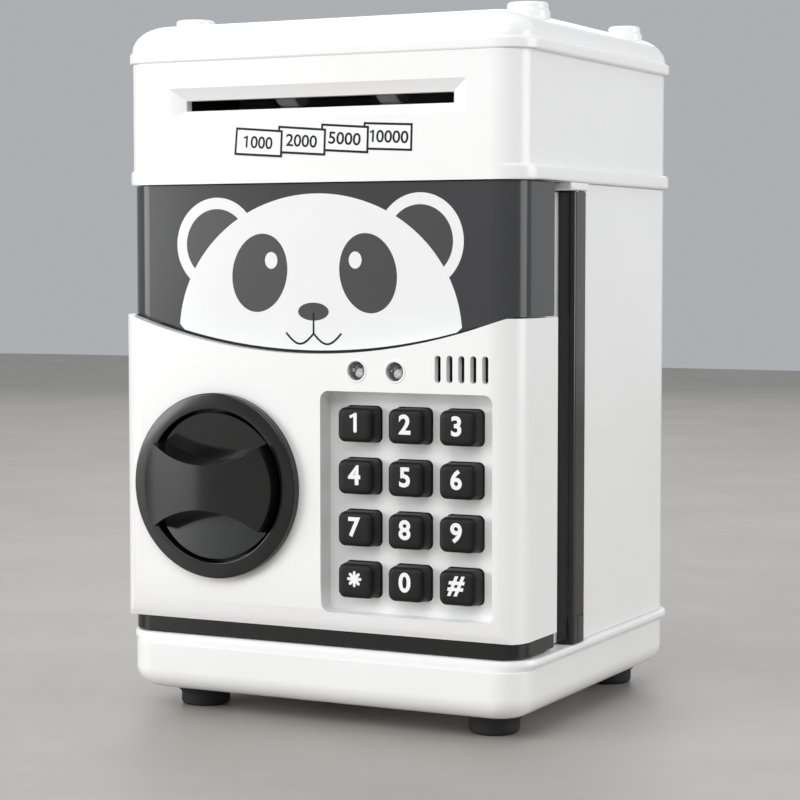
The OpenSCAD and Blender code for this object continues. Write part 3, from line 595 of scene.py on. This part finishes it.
def scoop(side, r):
    """Cutter for one finger scoop, above (1) or below (-1) the grip, with a floor that slopes outwards."""
    front = rotor_lo.y
    scoop_r = 31 * MM
    waist = 6.3 * MM                       # half of the grip's narrowest height
    draft = 1.2 * MM
    slope = math.tan(math.radians(10))
    rim_y = FRONT - PROUD - 2.5 * MM
    middle_z = KNOB.z + side * (waist + scoop_r)
    steps = 160
    top, bottom = [], []
    for i in range(steps):
        a = 2 * math.pi * i / steps
        across, up = math.cos(a), math.sin(a)
        top.append(Vector((KNOB.x + scoop_r * across, front, middle_z + scoop_r * up)))
        x, z = KNOB.x + (scoop_r - draft) * across, middle_z + (scoop_r - draft) * up
        from_rim = KNOB.z + side * r - z
        bottom.append(Vector((x, rim_y + side * from_rim * slope, z)))
    over = [Vector((p.x, front - 5 * MM, p.z)) for p in top]
    return loft("cut", [over, top, bottom])


def grip_barrel(r):
    """Cutter that leaves the grip's face slightly crowned from left to right."""
    front = rotor_lo.y
    barrel_r = 72 * MM
    reach = 1.5 * r
    outline = []
    for i in range(65):
        x = (i / 32 - 1) * reach
        outline.append((KNOB.x + x, front + barrel_r - math.sqrt(barrel_r ** 2 - x ** 2)))
    outline += [(KNOB.x + reach, front - 10 * MM), (KNOB.x - reach, front - 10 * MM)]
    return loft("cut", [at_z(outline, z) for z in (KNOB.z - 2 * r, KNOB.z + 2 * r)])


def knob_rotor():
    front, back = rotor_lo.y, FRONT + 1.9 * MM
    r = (rotor_hi.x - rotor_lo.x) / 2
    disc = lathe("knob_grip", [(0, back), (r, back), (r, front - MM), (0, front - MM)], KNOB, 128)
    boolean(disc, [grip_barrel(r), scoop(-1, r), scoop(1, r)])
    soften(disc, 0.45 * MM, 4, 30)
    thick_r, thin_r = 4 * MM, 2.5 * MM
    start, shoulder, end = FRONT + 1.8 * MM, FRONT + 26.7 * MM, FRONT + 33 * MM
    shaft = lathe("knob_shaft", [(0, start), (thick_r, start), (thick_r, shoulder), (thin_r, shoulder),
                                 (thin_r, end), (0, end)], KNOB, 48)
    soften(shaft, 0.3 * MM, 2)
    finish_piece(shaft, "knob", black)
    return finish_piece(disc, "knob", black, ["knob_rotor"])


def text_mesh(name, words, height, bold, thick, place, body, mat, tilt=0.0, width=None,
              lean=0.0):
    """Flat raised lettering that faces forward, centred on place."""
    curve = bpy.data.curves.new(name, "FONT")
    curve.body = words
    curve.align_x = "CENTER"
    curve.size = 1
    curve.offset = bold
    curve.shear = lean
    curve.resolution_u = 8
    curve.fill_mode = "BOTH"
    curve.extrude = 0.02
    holder = bpy.data.objects.new(name, curve)
    bpy.context.scene.collection.objects.link(holder)
    bpy.context.view_layer.update()
    mesh = bpy.data.meshes.new_from_object(holder.evaluated_get(bpy.context.evaluated_depsgraph_get()))
    bpy.data.objects.remove(holder)
    low = Vector([min(v.co[i] for v in mesh.vertices) for i in range(3)])
    high = Vector([max(v.co[i] for v in mesh.vertices) for i in range(3)])
    scale = height / (high.y - low.y)
    squeeze = width / ((high.x - low.x) * scale) if width else 1
    centre = (low + high) / 2
    turn = Matrix.Rotation(tilt, 3, "Y")
    for v in mesh.vertices:
        flat = v.co - centre
        deep = thick / 2 if flat.z < 0 else -thick / 2
        v.co = turn @ Vector((flat.x * scale * squeeze, deep, flat.y * scale)) + Vector(place)
    obj = bpy.data.objects.new(name, mesh)
    bpy.context.scene.collection.objects.link(obj)
    bm = bmesh.new()
    bm.from_mesh(mesh)
    bmesh.ops.remove_doubles(bm, verts=bm.verts, dist=1e-7)
    bmesh.ops.recalc_face_normals(bm, faces=bm.faces)
    bm.to_mesh(mesh)
    bm.free()
    return finish_piece(obj, body, mat)


def glyph(name, outline, centre, y, thick, body, mat):
    """Flat raised sign with an outline in x and z about its own middle."""
    placed = [(centre[0] + x, centre[1] + z) for x, z in outline]
    return finish_piece(prism_y(name, placed, y - thick / 2, y + thick / 2), body, mat)


def star_outline(radius, half, arms=8):
    """Star of round-ended arms."""
    points = []
    turn = 2 * math.pi / arms
    for k in range(arms):
        a = k * turn
        along = Vector((math.cos(a), math.sin(a)))
        side = Vector((-along.y, along.x))
        for i in range(7):
            b = -math.pi / 2 + math.pi * i / 6
            points.append(along * (radius - half) + along * half * math.cos(b) + side * half * math.sin(b))
        points.append(Vector((math.cos(a + turn / 2), math.sin(a + turn / 2))) * half / math.sin(turn / 2))
    return [tuple(p) for p in points]


def one_outline(height, stroke):
    """Figure 1 with a short flag at its top left."""
    half, top, low = stroke / 2, height / 2, -height / 2
    flag = height * 0.27
    points = []
    for i in range(9):
        b = math.pi + math.pi * i / 8
        points.append((half * math.cos(b), low + half + half * math.sin(b)))
    points += [(half, top - half * 0.4), (half * 0.6, top)]
    points += [(-half * 0.2, top), (-flag * 0.5, top - flag * 0.28)]
    tip = top - flag * 0.5
    points += [(-flag - half * 0.3, tip), (-flag - half * 0.5, tip - half * 0.8)]
    points += [(-flag * 0.95, tip - stroke * 0.8)]
    points += [(-half, top - flag * 0.3 - stroke * 0.6)]
    return points


def key_cap(node):
    """Rounded key on a wider flange that sits behind the panel."""
    lo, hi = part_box(node)
    mid = (lo + hi) / 2
    w, h = 11 * MM, 9.7 * MM
    front, back = lo.y, hi.y
    flange, flange_t = 1 * MM, 0.9 * MM
    edge, taper = 1.2 * MM, 0.1 * MM

    def ring(inset, y, radius):
        return at_y(rounded_outline(mid.x - w / 2 + inset, mid.x + w / 2 - inset,
                                    mid.z - h / 2 + inset, mid.z + h / 2 - inset, radius, 8), y)

    rings = [ring(-flange, back, 1.5 * MM),
             ring(-flange, back - flange_t, 1.5 * MM),
             ring(0, back - flange_t, 1.6 * MM),
             ring(taper / 2, front + edge + 2 * MM, 1.6 * MM)]
    for a in quarter(6):
        rings.append(ring(taper + edge * (1 - math.cos(a)), front + 0.06 * MM + edge * (1 - math.sin(a)),
                          2 * MM - edge * 0.6 * (1 - math.cos(a))))
    rings.append(ring(taper + edge + 0.8 * MM, front + 0.02 * MM, 1.2 * MM))
    cap = loft(node + "_cap", rings)
    smooth(cap, 60)
    return finish_piece(cap, node + "_body", key_rubber, [node])


def key_sign(node, sign):
    """Printed figure, star or hash, a little above the middle of the key."""
    lo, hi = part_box(node)
    body = node + "_body"
    name = node + "_sign"
    height, thick = 5.5 * MM, 0.04 * MM
    x, y, z = (lo.x + hi.x) / 2 - 0.1 * MM, lo.y + 0.02 * MM, (lo.z + hi.z) / 2 + 0.65 * MM
    if sign == "*":
        glyph(name, star_outline(2.25 * MM, 0.42 * MM), (x, z), y, thick, body, pale_ink_and_highlight)
    elif sign == "1":
        glyph(name, one_outline(height, 1.05 * MM), (x + 0.3 * MM, z), y, thick, body, pale_ink_and_highlight)
    else:
        text_mesh(name, sign, height, 0.03, thick, (x, y, z), body, pale_ink_and_highlight,
                  lean=0.22 if sign == "#" else 0.0)


def keys():
    signs = {"key_star": "*", "key_hash": "#"}
    for node in [n for n in frame["nodes"] if n.startswith("key_")]:
        key_cap(node)
        key_sign(node, signs.get(node, node[-1]))


def led(node):
    """Clear dome over a black disc that is painted shade for the hole behind the lens, with a pale chip
    set off centre that is also a painted highlight, in a white collar.
    """
    lo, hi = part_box(node)
    mid = (lo + hi) / 2
    r, flange_r = 2.45 * MM, 2.8 * MM
    tip = lo.y + 0.15 * MM
    flange, back = FRONT + 3.05 * MM, FRONT + 3.9 * MM
    profile = [(0, back), (flange_r, back), (flange_r, flange), (r, flange), (r, tip + r)]
    profile += [(r * math.cos(a), tip + r * (1 - math.sin(a))) for a in quarter(10)[1:]]
    dome = lathe(node + "_lens", profile, mid, 48)
    smooth(dome, 60)
    finish_piece(dome, "door", lens, [node])
    # painted highlight: a pale chip set off to the lower right stands in for the bright spot in the lens
    chip_highlight_r = 1.1 * MM
    profile = [(0, tip + 1.6 * MM), (0.4 * MM, tip + 1.6 * MM), (0.95 * MM, tip + 1.2 * MM),
               (chip_highlight_r, tip + 1.3 * MM), (chip_highlight_r, FRONT + 2.6 * MM), (0, FRONT + 2.6 * MM)]
    chip_highlight = lathe(node + "_chip_highlight", profile, (mid.x + 0.85 * MM, 0, mid.z - 0.55 * MM), 32)
    soften(chip_highlight, 0.05 * MM, 2)
    finish_piece(chip_highlight, "door", pale_ink_and_highlight)
    # painted shade: a black disc behind the lens stands in for the dark hole under it
    profile = [(0, FRONT + 2.7 * MM), (2.3 * MM, FRONT + 2.7 * MM), (2.35 * MM, FRONT + 3 * MM),
               (2.2 * MM, FRONT + 3.3 * MM), (0, FRONT + 3.3 * MM)]
    hole_shade = lathe(node + "_hole_shade", profile, mid, 40)
    soften(hole_shade, 0.05 * MM, 2)
    finish_piece(hole_shade, "door", black_ink_and_shade)
    collar_r, collar_w, collar_h = 2.95 * MM, 0.35 * MM, 0.26 * MM
    base = FRONT - PROUD + 0.08 * MM
    half_turn = [math.radians(15 * i) for i in range(13)]
    profile = [(collar_r + collar_w * math.cos(a), base - collar_h * math.sin(a)) for a in half_turn]
    collar = hoop(node + "_rim", profile, mid, 64)
    smooth(collar)
    finish_piece(collar, "door", white)


# ------------------------------------------------------------------ printed face


def ellipse(cx, cz, rx, rz, tilt=0.0, steps=96):
    points = []
    for i in range(steps):
        a = 2 * math.pi * i / steps
        u, v = rx * math.cos(a), rz * math.sin(a)
        points.append((cx + u * math.cos(tilt) - v * math.sin(tilt),
                       cz + u * math.sin(tilt) + v * math.cos(tilt)))
    return points


def printed(name, outline, layer, mat):
    """A print on the dark panel; the painted seam shadow is made the same way. The layer says how many
    coats are left free under it.
    """
    front = panel_lo.y - COAT * (layer + 1)
    obj = prism_y(name, [(x, z + LIFT) for x, z in outline], front, front + PRINT)
    return finish_piece(obj, "door", mat)


def ribbon(points, width):
    """Outline of a line of that width along the points, with round ends."""
    left, right = [], []
    half = width / 2
    count = len(points)
    for i, (x, z) in enumerate(points):
        x0, z0 = points[max(i - 1, 0)]
        x1, z1 = points[min(i + 1, count - 1)]
        length = math.hypot(x1 - x0, z1 - z0)
        nx, nz = -(z1 - z0) / length, (x1 - x0) / length
        left.append((x + nx * half, z + nz * half))
        right.append((x - nx * half, z - nz * half))

    def cap(point, start):
        return [(point[0] + half * math.cos(start - math.pi * k / 8),
                 point[1] + half * math.sin(start - math.pi * k / 8)) for k in range(1, 8)]

    (ax, az), (bx, bz) = points[-2], points[-1]
    end = math.atan2(bz - az, bx - ax) + math.pi / 2
    (ax, az), (bx, bz) = points[1], points[0]
    begin = math.atan2(bz - az, bx - ax) + math.pi / 2
    return left + cap(points[-1], end) + right[::-1] + cap(points[0], begin)


def head_outline():
    """Half ellipse whose lower side follows the curved seam."""
    cx, top, widest, half = 0.7 * MM, 148.2 * MM, 109 * MM, 44.7 * MM
    arc = []
    for i in range(97):
        a = math.pi * i / 96
        arc.append((cx + half * math.cos(a), widest + (top - widest) * math.sin(a)))
    chin = []
    steps = 48
    for i in range(steps + 1):
        x = cx - half + 2 * half * i / steps
        chin.append((x, seam_height(x) + 0.75 * MM))
    above = [(x, z) for x, z in arc if z > seam_height(x) + 0.9 * MM]
    return above + [(x, z) for x, z in chin if abs(x - cx) < half * 0.999]


def panda():
    """Face printed on the dark panel in overlapping coats, and a black line painted just above the seam as
    the shadow of the gap between panel and door shell. Sizes in mm, heights counted from LIFT.
    """
    ear_r, inner_ear_r = 13.2 * MM, 10 * MM
    for name, x, z in (("left", -31.5, 134.2), ("right", 32.6, 134.9)):
        printed("ear_%s_white" % name, ellipse(x * MM, z * MM, ear_r, ear_r), 0, panel_white)
        printed("ear_%s_dark" % name, ellipse(x * MM, z * MM, inner_ear_r, inner_ear_r), 1, print_grey)
    printed("head_white", head_outline(), 2, panel_white)
    line = 0.55 * MM
    # painted shadow: a black ribbon just above the seam stands in for the shade in the gap between the
    # panel and the white door shell
    seam = [(x, seam_height(x) + 0.55 * MM) for x in (i * MM for i in range(-50, 51))]
    printed("seam_shadow_line", ribbon(seam, 0.6 * MM), 3, black_ink_and_shade)
    tilt = math.radians(13)
    for name, x, z, turn in (("left", -17.5, 126.2, -1), ("right", 16.8, 126.2, 1)):
        printed("eye_" + name, ellipse(x * MM, z * MM, 8.8 * MM, 11.1 * MM, turn * tilt), 3, print_grey)
    for name, x, z in (("left", -13.75, 129.7), ("right", 12.85, 129.8)):
        printed("eye_%s_shine" % name, ellipse(x * MM, z * MM, 2 * MM, 2.35 * MM), 4, panel_white)
    printed("nose", ellipse(-0.3 * MM, 115.5 * MM, 4.85 * MM, 2.5 * MM), 3, print_grey)
    stem = [(-0.25 * MM, (115 - 5.6 * i / 8) * MM) for i in range(9)]
    printed("mouth_stem", ribbon(stem, line), 4, black_ink_and_shade)
    for name, far in (("left", -8.85), ("right", 8.4)):
        near = -0.25
        arc = []
        for i in range(25):
            s = i / 24
            x = near + (far - near) * s
            z = 109.4 - 2.9 * math.sin(math.pi * s)
            arc.append((x * MM, z * MM))
        printed("mouth_" + name, ribbon(arc, line), 5, black_ink_and_shade)


def frame_strip(name, corners, width, layer, front):
    """Thin square outline through four corners."""
    centre = Vector((sum(x for x, z in corners) / 4, sum(z for x, z in corners) / 4))
    inner = []
    for i in range(4):
        point = Vector(corners[i])
        before = (Vector(corners[i - 1]) - point).normalized()
        after = (Vector(corners[(i + 1) % 4]) - point).normalized()
        inner.append(point + (before + after) * width)
    y0 = front - COAT * (layer + 1)
    y1 = y0 + PRINT
    rings = []
    for points, y in ((corners, y0), (corners, y1), (inner, y1), (inner, y0)):
        rings.append(at_y([tuple(p) for p in points], y))
    rings.append(rings[0])
    return loft(name, rings, caps=False), centre


def note_labels():
    """Four printed notes that overlap, each with its value. The rows give the corners in mm."""
    notes = (("1000", (-24.4, 167.0), (-9.35, 165.8), (-9.7, 158.3), (-25.05, 159.3)),
             ("2000", (-10.8, 167.1), (4.3, 165.9), (4.0, 158.5), (-11.3, 159.5)),
             ("5000", (2.8, 167.35), (17.6, 166.3), (17.35, 158.85), (2.4, 159.8)),
             ("10000", (15.95, 167.4), (30.9, 166.7), (30.7, 159.2), (15.6, 159.9)))
    widths = (7.0, 9.8, 10.0, 9.8)         # mm, of the figures after a leading 1
    for i, (words, *corners) in enumerate(notes):
        name = "note_" + words
        corners = [(x * MM, z * MM + LIFT) for x, z in corners]
        layer = 3 * (3 - i)
        y0 = FRONT - COAT * (layer + 1)
        finish_piece(prism_y(name + "_card", corners, y0, y0 + PRINT), "cabinet", pale_ink_and_highlight)
        edge, centre = frame_strip(name + "_edge", corners, 0.62 * MM, layer + 1, FRONT)
        finish_piece(edge, "cabinet", black_ink_and_shade)
        tilt = math.radians(4.4 if i < 3 else 3)
        y = FRONT - COAT * (layer + 2.5)
        shift = 0
        if words[0] == "1":
            to_left, shift = ((3.85 * MM, 0.95 * MM) if words == "1000" else (4.5 * MM, 1.4 * MM))
            turn = Matrix.Rotation(-tilt, 2)
            outline = [tuple(turn @ (Vector(p) - Vector((to_left, 0))))
                       for p in one_outline(3.35 * MM, 0.56 * MM)]
            glyph(name + "_one", outline, centre, y, COAT, "cabinet", black_ink_and_shade)
        place = (centre.x + shift * math.cos(tilt), y, centre.y - shift * math.sin(tilt))
        text_mesh(name + "_words", words.lstrip("1"), 3.4 * MM, 0.014, COAT, place, "cabinet", black_ink_and_shade,
                  tilt, widths[i] * MM)


hinge_bar()
knob_ring()
knob_rotor()
keys()
led("led_left")
led("led_right")
panda()
note_labels()

# ------------------------------------------------------------------ CAD pieces that are shown

# For each slot of a shown CAD node, the material and the bevel's width in mm. BEVELS holds the
# nodes that differ.
LOOKS = {
    "white_plastic": (inner_white, 0.35),
    "face_panel": (panel_grey, 0.4),
    "black_plastic": (black, 0.35),
    "key_rubber": (key_rubber, 0.15),
    "roller_rubber": (roller_rubber, 0.3),
    "steel": (steel, 0.12),
    "nylon": (nylon, 0.06),
    "brass": (brass, 0.06),
    "circuit_board": (board, 0.12),
    "battery_skin": (cell_skin, 0.3),
    "motor_can": (can, 0.4),
    "speaker_cone": (cone, 0.2),
    "guide_plastic": (guide_grey, 0.15),
}
OUTSIDE_WHITE = ("body_shell", "door_shell", "battery_cover")
BEVELS = {"door_shell": 0.5, "body_shell": 0.5, "face_panel": 0.4, "door_liner": 0.4, "pin_spring": 0,
          "drive_gear": 0.05, "motor_pinion": 0.04, "knob_pinion": 0.06, "latch_bolt": 0.1}
SLOTS = {entry["node"]: entry["material_slot"] for entry in frame["record"]["subparts"]}


def dress(node, obj):
    """Material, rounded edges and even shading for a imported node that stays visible."""
    mat, width = LOOKS[SLOTS[node]]
    if node in OUTSIDE_WHITE:
        mat = white
    obj.data.materials.clear()
    obj.data.materials.append(mat)
    smooth(obj)
    weld = obj.modifiers.new("weld", "WELD")
    weld.merge_threshold = 1e-6
    dissolve = obj.modifiers.new("dissolve", "DECIMATE")
    dissolve.decimate_type = "DISSOLVE"
    dissolve.angle_limit = math.radians(1)
    width = BEVELS.get(node, width)
    if width:
        round_edges(obj, width * MM)


for piece, cad in frame["nodes"].items():
    if not cad.hide_render:
        dress(piece, cad)

# ------------------------------------------------------------------ studio


def area_light(name, place, target, size, power):
    data = bpy.data.lights.new(name, "AREA")
    data.shape = "RECTANGLE"
    data.size, data.size_y = size
    data.energy = power
    light = bpy.data.objects.new(name, data)
    light.location = place
    light.rotation_euler = (Vector(target) - Vector(place)).to_track_quat("-Z", "Y").to_euler()
    bpy.context.scene.collection.objects.link(light)
    return light


def studio():
    outline = rounded_outline(-2, 2, -2, 2, 0.5)
    ground = loft("floor", [at_z(outline, -0.02), at_z(outline, 0)])
    paint = plastic("floor_paint", (0.39, 0.365, 0.34), (0.43, 0.405, 0.38), (0.4, 0.5), 400, 0.00002)
    ground.data.materials.append(paint)
    centre = (0, 0, 0.1)
    lights = (area_light("key_light", (-1.18, -1.09, 0.4), (0, 0, 0.08), (0.78, 0.78), 12.5),
              area_light("front_light", (0.1, -1.15, 1.0), (0, 0, 0.05), (1.4, 0.7), 9.2),
              area_light("side_light", (1.25, 0.25, 0.4), centre, (0.7, 0.8), 6),
              area_light("top_light", (0, 0.1, 1.4), centre, (1.2, 1.2), 3.6),
              area_light("rim_light", (0.62, 1.25, 0.3), (0.06, 0, 0.1), (0.5, 0.9), 0.45),
              area_light("back_light", (-0.6, 1.2, 0.7), centre, (1.0, 0.8), 3))
    world = bpy.data.worlds.new("studio")
    world.use_nodes = True
    background = world.node_tree.nodes["Background"]
    background.inputs["Color"].default_value = (0.8, 0.83, 0.86, 1)
    background.inputs["Strength"].default_value = 0.52
    bpy.context.scene.world = world
    bpy.context.scene.view_settings.view_transform = "Standard"


def camera():
    data = bpy.data.cameras.new("camera")
    data.lens = 102.34
    data.sensor_width = 36
    eye = bpy.data.objects.new("camera", data)
    eye.location = (0.3060, FRONT - 0.55275, LIFT + 0.1300)
    eye.rotation_euler = (math.radians(86.46), 0, math.radians(26.78))
    bpy.context.scene.collection.objects.link(eye)
    bpy.context.scene.camera = eye


studio()
camera()


def corners(box):
    return [[float(c) for c in corner] for corner in box]


bpy.context.view_layer.update()
